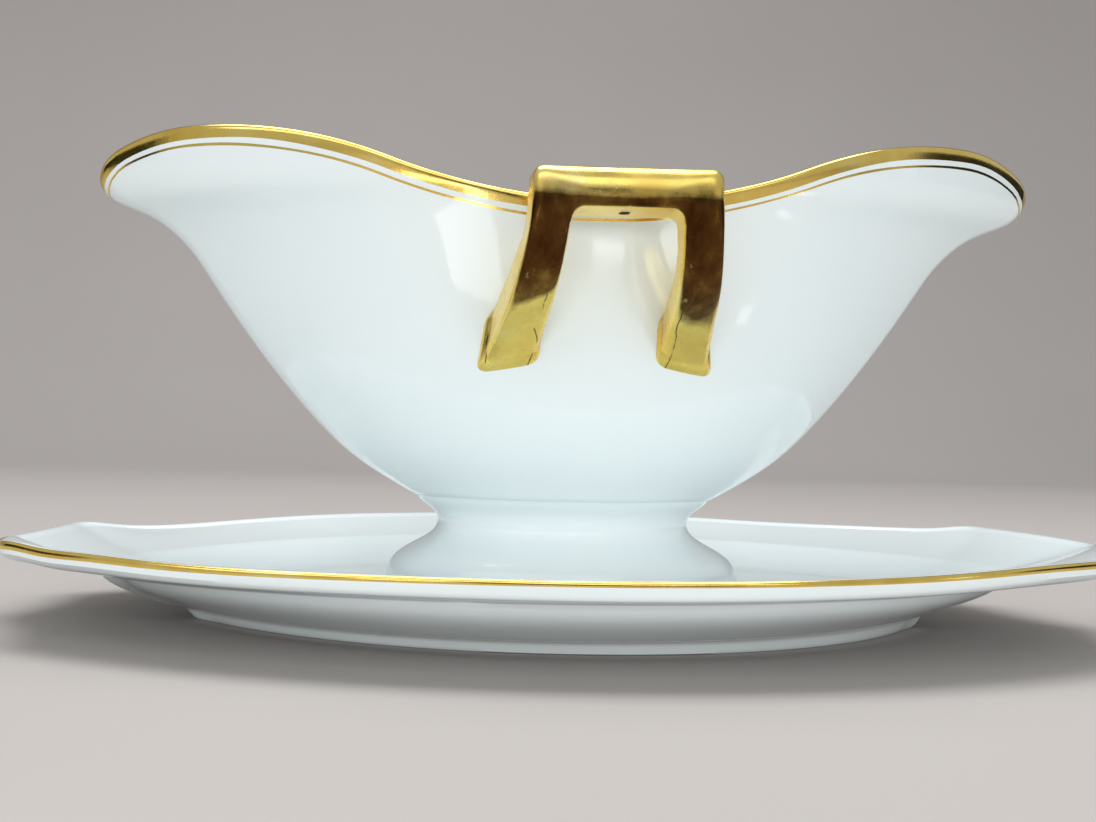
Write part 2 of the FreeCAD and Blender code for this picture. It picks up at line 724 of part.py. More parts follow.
failed = [item.Name for item in doc.Objects if {"Invalid", "Error"} & set(item.State)]
if failed:
    raise RuntimeError(f"these objects failed to build: {failed}")
loose = [
    item.Name
    for item in doc.Objects
    if item.TypeId == "Sketcher::SketchObject" and not item.FullyConstrained
]
if loose:
    raise RuntimeError(f"these sketches have free dimensions: {loose}")

for piece in PIECES:
    if piece.Shape.isNull() or not piece.Shape.isValid() or len(piece.Shape.Solids) != 1:
        raise RuntimeError(f"{piece.Label} is not one valid solid")

os.makedirs("parts", exist_ok=True)
for piece in PIECES:
    piece.Shape.exportStep(f"parts/{piece.Label}.step")
    print(f"{piece.Label}: {piece.Shape.Volume / 1000:.1f} cm3")
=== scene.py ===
"""Looks of a double-lipped porcelain gravy boat on its stand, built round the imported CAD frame.

Shapes are worked out in millimetres, in the CAD model's own frame: X runs along the boat, the camera
looks along +Y, and Z is the height over the table.  Each piece is a closed skin through loops of points.
"""
import math
from collections import namedtuple

import bmesh
import bpy
import numpy as np
from mathutils import Matrix, Vector


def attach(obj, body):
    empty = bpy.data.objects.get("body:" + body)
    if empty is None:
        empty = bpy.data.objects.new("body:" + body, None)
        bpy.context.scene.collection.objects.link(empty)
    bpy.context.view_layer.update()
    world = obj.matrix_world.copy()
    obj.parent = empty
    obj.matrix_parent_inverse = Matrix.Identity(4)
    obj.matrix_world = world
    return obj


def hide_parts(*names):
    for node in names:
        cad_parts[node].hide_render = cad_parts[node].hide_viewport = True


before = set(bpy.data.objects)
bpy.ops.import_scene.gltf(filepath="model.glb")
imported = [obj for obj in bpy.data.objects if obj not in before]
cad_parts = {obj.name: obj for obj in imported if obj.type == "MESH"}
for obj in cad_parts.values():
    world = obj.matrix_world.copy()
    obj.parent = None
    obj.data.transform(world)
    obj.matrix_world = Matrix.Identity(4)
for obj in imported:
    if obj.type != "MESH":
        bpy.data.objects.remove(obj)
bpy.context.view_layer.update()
MM = 0.001

# ---------------------------------------------------------------------------
# Curve helpers
# ---------------------------------------------------------------------------
END_POINTS, SIDE_POINTS = 28, 88  # points on each end arc and on each side arc of an oval
OVAL_POINTS = 2 * (END_POINTS + SIDE_POINTS)
HALVINGS = 40  # of a stretch, to find a place on it
WAVES = (3, 5, 8, 13, 21)  # the waves of a hand-drawn line: how many of each go round the rim
ABOUT_A_TURN = 6.3


def spline(knots, values, places):
    """A natural cubic spline through values at knots, read at some places."""
    knots, values, places = (np.asarray(numbers, float) for numbers in (knots, values, places))
    gaps, count = np.diff(knots), len(knots)
    system, target = np.eye(count), np.zeros((count,) + values.shape[1:])
    for i in range(1, count - 1):
        before, after = gaps[i - 1], gaps[i]
        system[i, i - 1 : i + 2] = before, 2 * (before + after), after
        target[i] = 6 * ((values[i + 1] - values[i]) / after - (values[i] - values[i - 1]) / before)
    bends = np.linalg.solve(system, target.reshape(count, -1)).reshape(target.shape)
    i = np.clip(np.searchsorted(knots, places) - 1, 0, count - 2)
    shape = places.shape + (1,) * (values.ndim - 1)
    on, gap = (places - knots[i]).reshape(shape), gaps[i].reshape(shape)
    slope = (values[i + 1] - values[i]) / gap - gap * (2 * bends[i] + bends[i + 1]) / 6
    return values[i] + on * (slope + on * (bends[i] / 2 + on * (bends[i + 1] - bends[i]) / (6 * gap)))


def arc(centre, radius, start, stop, count):
    """Points of an arc, without its last one."""
    angles = start + (stop - start) * np.arange(count) / count
    return np.stack([centre[0] + radius * np.cos(angles), centre[1] + radius * np.sin(angles)], 1)


def side_radius(reach, beam, end):
    """The radius of an oval's long sides, from its half length, half width and end radius."""
    return (reach**2 - 2 * reach * end + beam**2) / (2 * (beam - end))


def oval(reach, beam, end):
    """An oval of four tangent arcs, as a closed loop of points."""
    side = side_radius(reach, beam, end)
    turn = math.atan2(side - beam, reach - end)
    return np.concatenate([
        arc((reach - end, 0), end, -turn, turn, END_POINTS),
        arc((0, beam - side), side, turn, math.pi - turn, SIDE_POINTS),
        arc((end - reach, 0), end, math.pi - turn, math.pi + turn, END_POINTS),
        arc((0, side - beam), side, math.pi + turn, 2 * math.pi - turn, SIDE_POINTS),
    ])


def distances(line):
    """How far along a polyline each of its points lies."""
    return np.concatenate([[0], np.cumsum(np.linalg.norm(np.diff(line, axis=0), axis=1))])


def along(polylines, wanted):
    """Loops across many polylines, through their points at the wanted distances."""
    loops = np.empty((len(wanted[0]), len(polylines), 3))
    for column, line in enumerate(polylines):
        run = distances(line)
        for axis in range(3):
            loops[:, column, axis] = np.interp(wanted[column], run, line[:, axis])
    return loops


def last_before(low, high, is_beyond):
    """The place between low and high just before is_beyond turns true."""
    for _ in range(HALVINGS):
        middle = (low + high) / 2
        low, high = (low, middle) if is_beyond(middle) else (middle, high)
    return low


def wobble(size, seed):
    """Small smooth deviations round an oval, as a brush held by hand leaves."""
    chance = np.random.default_rng(seed)
    angle = np.linspace(0, 2 * math.pi, OVAL_POINTS, endpoint=False)
    total = sum(np.sin(wave * angle + chance.uniform(0, ABOUT_A_TURN)) for wave in WAVES)
    return size * total / len(WAVES)


# ---------------------------------------------------------------------------
# Mesh helpers
# ---------------------------------------------------------------------------
def skin(name, rows, row_material, materials, crease):
    """A closed skin through loops of points; each band of faces between two loops has its material."""
    maker = bmesh.new()
    loops = [[maker.verts.new(point * MM) for point in row] for row in rows]
    count = len(loops[0])
    for band, (low, high) in enumerate(zip(loops, loops[1:])):
        for i in range(count):
            j = (i + 1) % count
            face = maker.faces.new((low[i], low[j], high[j], high[i]))
            face.material_index = row_material[band]
    for loop, band in ((loops[0], 0), (loops[-1], -1)):
        middle = maker.verts.new(sum((vertex.co for vertex in loop), Vector()) / count)
        for i in range(count):
            face = maker.faces.new((loop[i], loop[(i + 1) % count], middle))
            face.material_index = row_material[band]
    return finish_mesh(name, maker, materials, crease)


def finish_mesh(name, maker, materials, crease):
    """The object made of a bmesh, smooth except where its faces meet at more than crease degrees."""
    bmesh.ops.recalc_face_normals(maker, faces=maker.faces)
    for face in maker.faces:
        face.smooth = True
    mesh = bpy.data.meshes.new(name)
    maker.to_mesh(mesh)
    maker.free()
    mesh.set_sharp_from_angle(angle=math.radians(crease))
    for finish in materials:
        mesh.materials.append(finish)
    thing = bpy.data.objects.new(name, mesh)
    bpy.context.scene.collection.objects.link(thing)
    return thing


def place(thing, node):
    """A piece rides on the whole object, and stands for one node of the CAD."""
    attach(thing, "root")
    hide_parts(node)


# ---------------------------------------------------------------------------
# Node helpers
# ---------------------------------------------------------------------------
MIX_SHARE, MIX_FIRST, MIX_SECOND = 0, 6, 7  # the colour sockets of a Mix node
MIX_RESULT = 2


def material(name):
    """A new material, its node tree and its shader."""
    made = bpy.data.materials.new(name)
    made.use_nodes = True
    tree = made.node_tree
    return made, tree, tree.nodes["Principled BSDF"]


def feed(tree, node, inputs):
    """Each input gets a link where its source is another node's output, or else a plain value."""
    for key, source in inputs.items():
        if isinstance(source, bpy.types.NodeSocket):
            tree.links.new(source, node.inputs[key])
        else:
            node.inputs[key].default_value = source


def add_node(tree, kind, inputs, **settings):
    """A new node with its settings and inputs."""
    node = tree.nodes.new(kind)
    for name, value in settings.items():
        setattr(node, name, value)
    feed(tree, node, inputs)
    return node


def noise(tree, scale, detail, rough=0.55, stretch=(1, 1, 1)):
    """A noise texture on the object's own coordinates."""
    spot = add_node(tree, "ShaderNodeTexCoord", {}).outputs["Object"]
    fit = add_node(tree, "ShaderNodeMapping", {"Vector": spot, "Scale": stretch})
    grain = add_node(tree, "ShaderNodeTexNoise", {
        "Vector": fit.outputs["Vector"], "Scale": scale, "Detail": detail, "Roughness": rough,
    })
    return grain.outputs["Fac"]


def ramp(tree, source, stops):
    """Stops are (position, colour or grey)."""
    node = add_node(tree, "ShaderNodeValToRGB", {"Fac": source})
    points = node.color_ramp.elements
    while len(points) < len(stops):
        points.new(0.5)
    for point, (position, colour) in zip(points, stops):
        point.position = position
        point.color = (*colour, 1) if isinstance(colour, tuple) else (colour, colour, colour, 1)
    return node.outputs["Color"]


def bump(tree, layers):
    """Normals from layers of (height, strength, distance in mm)."""
    normal = {}
    for height, strength, distance in layers:
        node = add_node(tree, "ShaderNodeBump", {
            "Height": height, "Strength": strength, "Distance": distance * MM, **normal,
        })
        normal = {"Normal": node.outputs["Normal"]}
    return node.outputs["Normal"]


def mix(tree, share, first, second):
    """A colour between two others; each of the two is an output or a colour."""
    first, second = ((*tone, 1) if isinstance(tone, tuple) else tone for tone in (first, second))
    inputs = {MIX_SHARE: share, MIX_FIRST: first, MIX_SECOND: second}
    return add_node(tree, "ShaderNodeMix", inputs, data_type="RGBA").outputs[MIX_RESULT]


def compute(tree, operation, *values):
    """The outcome of one Math node."""
    return add_node(tree, "ShaderNodeMath", dict(enumerate(values)), operation=operation).outputs[0]


def painted(tree, name):
    """A value painted on the mesh's points."""
    return add_node(tree, "ShaderNodeAttribute", {}, attribute_name=name).outputs["Fac"]


# ---------------------------------------------------------------------------
# Materials
# ---------------------------------------------------------------------------
GLAZE = [(0.3, (0.765, 0.855, 0.875)), (0.7, (0.79, 0.875, 0.89))]
# Painted shade: a dark grey laid into the stand's creases, where shadow falls.
CREASE_SHADE_COLOUR = (0.24, 0.22, 0.20)
FRESH_GOLD = [(0.30, (0.82, 0.54, 0.10)), (0.52, (0.95, 0.70, 0.18)), (0.74, (1.0, 0.84, 0.36))]
# Near-black browns for the handles' outward faces: painted dark reflection, with some wear.
WORN_AND_DARK_REFLECTED_GOLD = [(0.34, (0.055, 0.019, 0.005)), (0.50, (0.105, 0.046, 0.011)), (0.68, (0.23, 0.125, 0.028))]
SCRATCH, CRACK = (0.80, 0.62, 0.24), (0.13, 0.07, 0.02)


def porcelain():
    """White glaze with a blue cast and a faint ripple, and painted shade, a dark grey, where a mesh marks
    its creases.
    """
    made, tree, shader = material("porcelain")
    body = ramp(tree, noise(tree, scale=22, detail=3), GLAZE)
    ripple, orange_peel = noise(tree, scale=38, detail=2), noise(tree, scale=420, detail=2)
    feed(tree, shader, {
        "Base Color": mix(tree, painted(tree, "crease_shade"), body, CREASE_SHADE_COLOUR),
        "Roughness": ramp(tree, noise(tree, scale=60, detail=5), [(0.35, 0.05), (0.75, 0.11)]),
        "IOR": 1.52,
        "Coat Weight": 0.3,
        "Coat Roughness": 0.03,
        "Normal": bump(tree, [(ripple, 0.25, 0.5), (orange_peel, 0.08, 0.05)]),
    })
    return made


def bisque(name, dark, light):
    """Fired clay without glaze."""
    made, tree, shader = material(name)
    feed(tree, shader, {
        "Base Color": ramp(tree, noise(tree, scale=300, detail=6), [(0.3, dark), (0.7, light)]),
        "Roughness": 0.75,
        "Normal": bump(tree, [(noise(tree, scale=1500, detail=4), 0.4, 0.05)]),
    })
    return made


def cracks(tree):
    """Fine broken lines across X, for the middle of each leg."""
    wave = add_node(tree, "ShaderNodeTexWave", {
        "Vector": add_node(tree, "ShaderNodeTexCoord", {}).outputs["Object"],
        "Scale": 35, "Distortion": 1.6, "Detail": 3, "Detail Scale": 2.2,
    }, bands_direction="X")
    line = ramp(tree, wave.outputs["Fac"], [(0.9965, 0.0), (0.9985, 1.0)])
    broken = ramp(tree, noise(tree, scale=160, detail=3), [(0.44, 0.0), (0.50, 1.0)])
    return compute(tree, "MULTIPLY", line, broken)


def wear_and_dark_reflection(tree, fresh):
    """Gilding with painted dark reflection and the wear of hands on it: brown blotches, partly wear and
    partly painted reflection, bright scratches and fine cracks.
    """
    blotches = noise(tree, scale=150, detail=5, rough=0.6)
    # The brown lies where the mesh is marked for wear and painted dark reflection together.
    uneven = compute(tree, "MULTIPLY_ADD", blotches, 0.60, painted(tree, "wear_and_reflection"))
    share = ramp(tree, uneven, [(0.50, 0.0), (0.78, 0.97), (1.0, 1.0)])
    brown = ramp(tree, noise(tree, scale=130, detail=5, rough=0.65, stretch=(1, 1, 0.4)), WORN_AND_DARK_REFLECTED_GOLD)
    strokes = noise(tree, scale=420, detail=4, rough=0.6, stretch=(1, 1, 0.05))
    scratched = ramp(tree, strokes, [(0.64, 0.0), (0.72, 0.35)])
    cracked = compute(tree, "MULTIPLY", cracks(tree), painted(tree, "crazing"))
    tone = mix(tree, share, fresh, brown)
    tone = mix(tree, scratched, tone, SCRATCH)
    return mix(tree, cracked, tone, CRACK)


def gold(name, dull, brushed, worn_and_dark_reflected=False):
    """Gilding with fine brush marks, which run where their noise is stretched."""
    made, tree, shader = material(name)
    fresh = ramp(tree, noise(tree, scale=55, detail=6, rough=0.6), FRESH_GOLD)
    dullness = noise(tree, scale=130, detail=6, rough=0.65)
    brush = noise(tree, scale=900, detail=2, rough=0.5, stretch=brushed)
    scratch = noise(tree, scale=240, detail=8, rough=0.75)
    feed(tree, shader, {
        "Base Color": wear_and_dark_reflection(tree, fresh) if worn_and_dark_reflected else fresh,
        "Roughness": ramp(tree, dullness, [(0.3, dull * 0.6), (0.8, dull * 1.7)]),
        "Metallic": 1.0,
        "Normal": bump(tree, [(brush, 0.12, 0.06), (scratch, 0.25, 0.08)]),
    })
    return made


PORCELAIN = porcelain()
BISQUE = bisque("bisque", (0.66, 0.63, 0.58), (0.76, 0.74, 0.70))
# Painted shade in the vent, with unglazed clay: a near-black clay colour.
BORE_CLAY_AND_SHADE = bisque("bore_clay_and_shade", (0.05, 0.03, 0.015), (0.09, 0.06, 0.03))
RIM_GOLD = gold("rim_gilding", 0.12, brushed=(1, 1, 0.06))
# The handles' gilding carries painted dark reflection as well as wear.
HANDLE_GOLD = gold("handle_gilding", 0.26, brushed=(0.05, 1, 1), worn_and_dark_reflected=True)

# ---------------------------------------------------------------------------
# Bowl: a hull of ovals, cut off along the rim's sweep
# ---------------------------------------------------------------------------
WALL = 3.0  # the bowl's thickness
SEAT, FLOOR = 28.4, 32.4  # the levels of the hull's underside and of the floor inside
HULL = np.array([  # level, half length, half width, end radius
    (SEAT, 33.0, 22.8, 15.75), (34.9, 44.2, 28.5, 15.0), (44.9, 55.7, 33.5, 13.0),
    (59.9, 68.4, 37.0, 10.5), (75.9, 79.8, 39.0, 8.5), (80.5, 83.1, 39.6, 8.1), (85.4, 88.0, 40.24, 8.0),
    (87.7, 91.3, 40.55, 8.3), (89.3, 94.7, 40.76, 8.7), (90.6, 98.2, 40.93, 9.0), (92.0, 101.0, 41.11, 9.3),
    (94.4, 103.3, 41.42, 9.7), (98.4, 104.7, 41.95, 10.0), (106.4, 105.6, 43.0, 10.0),
])
FIRST_LIP_ROW = 5  # from this row of the hull up, the lips jut out
NUDGE = 0.05  # a step up or down, to measure the hull's slope
WALL_LEVELS = 260

LOW = 88.4  # the rim's level amidships, at the bottom of its dip
CREST_REACH, CREST = 82.4, 104.4  # place along the boat and level of each crest
HUMP, FALL = 108.0, 42.0  # radii of the rim before and past a crest
NOSE_REACH, NOSE = 104.2, 9.4  # the lips' foremost place, and the radius of their round noses
DIP = (CREST_REACH**2 + (CREST - LOW) ** 2) / (2 * (CREST - LOW)) - HUMP
NOSE_OUT = NOSE_REACH - NOSE - CREST_REACH
NOSE_LEVEL = CREST - FALL + math.sqrt((FALL - NOSE) ** 2 - NOSE_OUT**2)
BRINK = CREST_REACH + NOSE_OUT * FALL / (FALL - NOSE)

RIM_ROUND, ROUND_STEPS = 1.35, 4
RIM_LOOP = 2.2  # a loop between the rim's rounding and the gilding's edge
HAND_DRAWN = (  # width or place of a painted edge, its wobble, and the seed of that
    (2.9, 0.25, 1),  # the gilding's lower edge outside
    (3.95, 0.20, 2),  # the upper edge of the line below it
    (0.52, 0.16, 3),  # the width of that line
    (2.4, 0.20, 4),  # the gilding's lower edge inside
)
GILDING_LOOP, LINE_LOOP = 3, 5  # those edges' loops, counted down the outer wall from the rim
RIM_SEARCH = 16.0  # the painted edges lie less than this far down the wall
OUTER_LOOPS, INNER_LOOPS = 46, 40
FLOOR_LOOPS = (  # share of the inner wall's last loop, and how far it lies over the floor's level
    (1.0, 0.6), (0.985, 0.25), (0.93, 0.0), (0.8, -0.15), (0.55, -0.2), (0.3, -0.2),
)


def sheer(x):
    """Height of the rim at a distance from the middle of the boat."""
    x = abs(x)
    if x < CREST_REACH * DIP / (DIP + HUMP):
        return LOW + DIP - math.sqrt(DIP**2 - x**2)
    if x < CREST_REACH:
        return CREST - HUMP + math.sqrt(HUMP**2 - (CREST_REACH - x) ** 2)
    if x < BRINK:
        return CREST - FALL + math.sqrt(FALL**2 - (x - CREST_REACH) ** 2)
    return NOSE_LEVEL + math.sqrt(max(NOSE**2 - (x - NOSE_REACH + NOSE) ** 2, 0))


def is_over_rim(point):
    """Whether a point is higher than the rim at its place along the boat."""
    return point[2] > sheer(point[0])


def inner_hull():
    """The hull moved in by the wall, which in the lips is measured square to their underside."""
    inner = HULL.copy()
    inner[:, 1:] -= WALL
    for row in range(FIRST_LIP_ROW, len(HULL) - 1):
        level, reach = HULL[row, :2]
        below, above = spline(HULL[:, 0], HULL[:, 1], [level - NUDGE, level + NUDGE])
        slope = (above - below) / (2 * NUDGE)
        square = WALL / math.hypot(1, slope)
        inner[row, :2] = level + square * slope, reach - square
    rise = (FLOOR - HULL[0, 0]) / (HULL[1, 0] - HULL[0, 0])
    reach, beam = HULL[0, 1:3] * (1 - rise) + HULL[1, 1:3] * rise - WALL
    inner[0] = FLOOR, reach, beam, HULL[1, 3] - WALL
    return inner


def wall_lines(hull, bottom):
    """One polyline for each column of a wall, from the rim down to the bottom."""
    levels = np.linspace(bottom, HULL[-1, 0], WALL_LEVELS)
    ovals = np.array([oval(*spline(hull[:, 0], hull[:, 1:], level)) for level in levels])
    lines = []
    for column in range(OVAL_POINTS):
        points = np.column_stack([ovals[:, column], levels])
        over = next(i for i, point in enumerate(points) if is_over_rim(point))
        edge = last_before(points[over - 1], points[over], is_over_rim)
        lines.append(np.concatenate([[edge], points[over - 1 :: -1]]))
    return lines


def off_rim(lines, edge, widths):
    """How far down each column a point lies some width off the rim, measured square to it."""
    ahead = np.roll(edge, -1, 0) - edge
    dense = np.concatenate([edge + ahead * t for t in np.linspace(0, 1, 5, endpoint=False)])
    depths = []
    for line, width in zip(lines, widths):
        run = distances(line)
        near = run < RIM_SEARCH
        gaps = np.linalg.norm(line[near, None] - dense, axis=2).min(axis=1)
        depths.append(np.interp(width, np.maximum.accumulate(gaps), run[near]))
    return np.array(depths)


def wall_loops(lines, fixed, count):
    """Loops down a wall: at the fixed distances off the rim, then spread evenly to the bottom."""
    wanted = []
    for column, line in enumerate(lines):
        near = [depth[column] if np.ndim(depth) else depth for depth in fixed]
        rest = near[-1] + (distances(line)[-1] - near[-1]) * np.linspace(0, 1, count + 1)[1:]
        wanted.append(np.concatenate([near, rest]))
    return along(lines, wanted)


def round_over(outer, inner, below_outer, below_inner):
    """Loops that round the rim from the outer wall to the inner one."""
    across = inner - outer
    run = across * (RIM_ROUND / np.linalg.norm(across, axis=1, keepdims=True))
    rows = []
    for start, corner, stop in ((below_outer, outer, outer + run), (inner - run, inner, below_inner)):
        for t in np.linspace(0, 1, ROUND_STEPS + 1):
            rows.append(start * (1 - t) ** 2 + corner * 2 * t * (1 - t) + stop * t**2)
    return rows


def build_bowl():
    """The bowl with its rounded, gilded rim and the gold line below that."""
    outer, inner = wall_lines(HULL, SEAT), wall_lines(inner_hull(), FLOOR)
    outer_edge, inner_edge = (np.array([line[0] for line in lines]) for lines in (outer, inner))
    gilding, line_top, line_width, gilding_inside = (
        middle + wobble(size, seed) for middle, size, seed in HAND_DRAWN
    )
    line_bottom = line_top + line_width
    painted_edges = [off_rim(outer, outer_edge, width) for width in (gilding, line_top, line_bottom)]
    outside = wall_loops(outer, [RIM_ROUND, RIM_LOOP, *painted_edges], OUTER_LOOPS)
    inside = wall_loops(inner, [RIM_ROUND, gilding_inside], INNER_LOOPS)
    rounding = round_over(outer_edge, inner_edge, outside[0], inside[0])[1:-1]
    floor = [inside[-1] * [share, share, 1] + [0, 0, lift] for share, lift in FLOOR_LOOPS]
    rows = [*outside[::-1], *rounding, *inside[:-1], *floor]

    rim_row = len(outside)
    gilded = [rim_row - LINE_LOOP, *range(rim_row - GILDING_LOOP, rim_row + len(rounding) + 1)]
    row_material = [1 if row in gilded else 0 for row in range(len(rows) - 1)]
    bowl = skin("porcelain_bowl", rows, row_material, [PORCELAIN, RIM_GOLD], crease=50)
    place(bowl, "bowl")


# ---------------------------------------------------------------------------
# Pedestal foot
# ---------------------------------------------------------------------------
FOOT = np.array([  # level, half length and half width, from the bowl down to the flange
    (SEAT, 32.4, 22.2), (27.6, 32.0, 21.8), (25.6, 29.4, 19.8), (22.6, 27.8, 18.6),
    (19.8, 29.6, 19.9), (17.6, 33.4, 22.9), (15.6, 36.6, 25.3), (13.2, 38.5, 26.8), (10.6, 39.1, 27.3),
])
FOOT_LEVELS = 40
FLANGE_REACH, FLANGE_BEAM = 39.2, 27.5
FLANGE = ((9.9, 0.15), (9.65, 0.5), (9.5, 1.3), (9.3, 1.75), (9.0, 1.9), (8.55, 1.9))  # level, spread


def build_foot():
    """The waisted foot, down to its flange in the stand's well."""
    levels = np.linspace(FOOT[0, 0], FOOT[-1, 0], FOOT_LEVELS)
    sizes = np.column_stack([levels, spline(-FOOT[:, 0], FOOT[:, 1:], -levels)]).tolist()
    sizes += [(level, FLANGE_REACH + spread, FLANGE_BEAM + spread) for level, spread in FLANGE]
    rows = []
    for level, reach, beam in sizes:
        rows.append(np.column_stack([oval(reach, beam, beam * beam / reach), np.full(OVAL_POINTS, level)]))
    foot = skin("porcelain_foot", rows, [0] * len(rows), [PORCELAIN], crease=60)
    place(foot, "pedestal_foot")


# ---------------------------------------------------------------------------
# Stand: outlines between a foot ring and a rim that has bracketed, pointed tips
# ---------------------------------------------------------------------------
# Half length, half width, the brackets' length and half width, and how far they are hollowed.
RING = np.array([85.0, 42.0, 9.0, 10.0, 0.3])
RIM = np.array([125.0, 79.0, 9.5, 39.0, 2.4])
SIDE_STEPS, BRACKET_STEPS = 120, 24
SMOOTHINGS, RING_SMOOTHINGS = 5, 12  # rounds of smoothing at the rim, and how many more at the ring
RIM_LEVEL, SHELF = 19.1, 14.0  # the levels of the rim and of the well's brink

# A loop of the stand: its level, its share of the way from ring to rim, how far it is spread, its
# lift amidships and at the tips, its share of the rim's warp, and how far its tips are drawn in.
Loop = namedtuple("Loop", "level share spread centre tip wave pinch", defaults=(0, 0, 0, 0, 0))
STEP = Loop(3.8, 0, spread=3.6, centre=-0.1, tip=0.4, pinch=1.9)  # the crease over the foot ring
ROLL = Loop(11.4, 0.47, centre=1.4, tip=0.2, pinch=-1.5)  # the crease between the two tiers
RING_PINCH = 3.3
RING_LOOPS = ((4.2, -5.6), (1.0, -5.2), (0.3, -4.8), (0, -4.0), (0, -1.0), (0.3, -0.3))  # level, spread
RING_FACE = (  # share of the step's level and of its spread, and pinch
    (0.25, 0.0, 2.6), (0.5, 0.08, 2.1), (0.7, 0.25, 1.9), (0.83, 0.45, 1.9), (0.93, 0.65, 1.9),
)
BROW = (  # lift and spread of each loop: a groove, then a small rounded brow that hangs below it
    (0.25, -1.0), (0.1, -0.5), (-0.3375, -0.2), (-0.45, 0.05), (-0.4185, 0.4), (-0.315, 1.0),
)
LOWER_TIER = [
    STEP._replace(share=0.02, spread=5.0),
    Loop(5.4, 0.16, 4.6, 0.6, 0.5, pinch=1.9),
    Loop(8.8, 0.37, 2.2, 1.2, 0.3, pinch=0.8),
    ROLL._replace(level=ROLL.level - 0.5, share=ROLL.share - 0.02, spread=-0.9, pinch=-1.2),
]
UPPER_TIER = [
    ROLL._replace(level=ROLL.level + 0.4, share=ROLL.share + 0.05, pinch=-1.2),
    Loop(12.6, 0.63, 1.6, 1.2, 0.1, 0.1, -0.5),
    Loop(14.6, 0.84, 2.2, 0.6, wave=0.5),
    Loop(15.7, 0.96, 0.9, 0.1, wave=0.9),
    Loop(RIM_LEVEL - 2.4, 1, -0.15, wave=1),
]
EDGE = (  # drop below the rim's level, and inset
    (1.75, 0.03), (1.2, 0), (0.8, 0.04), (0.45, 0.13), (0.18, 0.28),
    (0.04, 0.55), (0, 0.95), (0, 1.7), (0.35, 2.8),
)
TOP_SIDE = [
    Loop(RIM_LEVEL - 0.6, 1, -3.2, wave=1),
    Loop(16.3, 0.75, -1.3, 0.4, -0.6, 0.4),
    Loop(SHELF, ROLL.share, 0, 0.9, -1.2),
]
WELL = [
    Loop(13.4, 0.45, -0.2, 0.8, -1.1), Loop(9.6, 0.03, 5.8), Loop(8.75, 0, 4.6),
    Loop(8.6, 0, 2.0), Loop(8.6, 0, -12),
]
LOWER_LOOPS, UPPER_LOOPS, TOP_LOOPS = 18, 20, 14
BARE_BAND = 3  # the foot ring's flat, which stands on the table, has no glaze
GILDED_BANDS = 5  # the bands of the edge that are gilded, from its lowest loop up
SLIM = 0.45  # how much narrower the gilded edge is amidships than at the tips
CREASE_SHADE_FADE = (0.6, 0.5, 0.5, 0.2)  # painted shade on the four loops past a crease

LIFT_POWER = 2.2  # a loop's lift goes from its centre's to its tip's with this power of the distance
LEAN, LEAN_LEVEL = 0.7, 4.0  # the rise to the right tip and fall to the left, in full from a level up
TIPS = {-1: -1.9, 1: 0.4}  # how far the rim lies off its level at the two tips
WARP = {  # place along the stand, and how far the rim lies off its level there, by side
    -1: [(-0.965, -0.3), (-0.924, 1.1), (-0.86, 0.6), (-0.78, 0.2), (-0.70, -0.2), (-0.41, -0.6),
         (0, -0.5), (0.29, 0), (0.50, 0.8), (0.65, 1.6), (0.80, 2.0), (0.924, 2.1)],
    1: [(-0.965, -1.5), (-0.924, -1.1), (-0.86, -2.0), (-0.76, -2.6), (-0.64, -1.9), (-0.52, -1.0),
        (-0.39, -0.3), (-0.18, 0.2), (0.42, 0.3), (0.53, -0.1), (0.71, -0.2), (0.82, 0), (0.87, 0.4),
        (0.924, 1.4)],
}


def outline(share, spread, pinch):
    """The stand's outline, part of the way from the foot ring to the rim."""
    ways = np.array([share, share, share, share**2, share])
    reach, beam, setback, corner, hollow = RING + (RIM - RING) * ways
    reach, beam = reach + spread - pinch, beam + spread
    across, bow = reach - setback, beam - corner
    side = (across**2 + bow**2) / (2 * bow)
    half = math.atan2(across, side - bow)
    top = arc((0, beam - side), side, math.pi / 2 - half, math.pi / 2 + half, SIDE_STEPS)
    tip, knuckle = np.array([reach, 0.0]), np.array([across, corner])
    t = np.linspace(0, 1, BRACKET_STEPS, endpoint=False)[:, None]
    normal = np.array([corner, setback]) / math.hypot(corner, setback)
    bracket = tip + (knuckle - tip) * t - normal * hollow * 4 * t * (1 - t)
    upper = np.concatenate([bracket, top, [[-across, corner]], bracket[:0:-1] * [-1, 1]])
    loop = np.concatenate([upper, -upper])
    for _ in range(SMOOTHINGS + int(max(1 - share, 0) * RING_SMOOTHINGS)):
        loop = (np.roll(loop, 1, 0) + 2 * loop + np.roll(loop, -1, 0)) / 4
    return loop


def stand_row(line):
    """The points of a loop of the stand."""
    level, share, spread, centre, tip, wave, pinch = line
    loop = outline(share, spread, pinch)
    x, y = loop.T
    place_along = x / np.abs(x).max()
    lift = centre + (tip - centre) * np.abs(place_along) ** LIFT_POWER
    lift += LEAN * place_along * np.clip(level / LEAN_LEVEL, 0, 1) * (1 - wave)
    for side, warp in WARP.items():
        warp = np.array([(-1, TIPS[-1]), *warp, (1, TIPS[1])])
        lift += wave * spline(warp[:, 0], warp[:, 1], place_along) * (y * side > 0)
    lift += wave * np.where(y == 0, np.where(x < 0, TIPS[-1], TIPS[1]), 0)
    return np.column_stack([loop, level + lift])


def tier(stops, count):
    """Rows along a smooth profile through some loops."""
    stops = np.array(stops, float)
    run = distances(stops[:, :3] * [1, RIM[0] - RING[0], 1])
    return [stand_row(line) for line in spline(run, stops, np.linspace(0, run[-1], count))]


def brow(line):
    """Rows that end a tier: a groove and a small rounded brow."""
    lines = [line._replace(level=line.level + lift, spread=line.spread + out) for lift, out in BROW]
    return [stand_row(lowered) for lowered in lines]


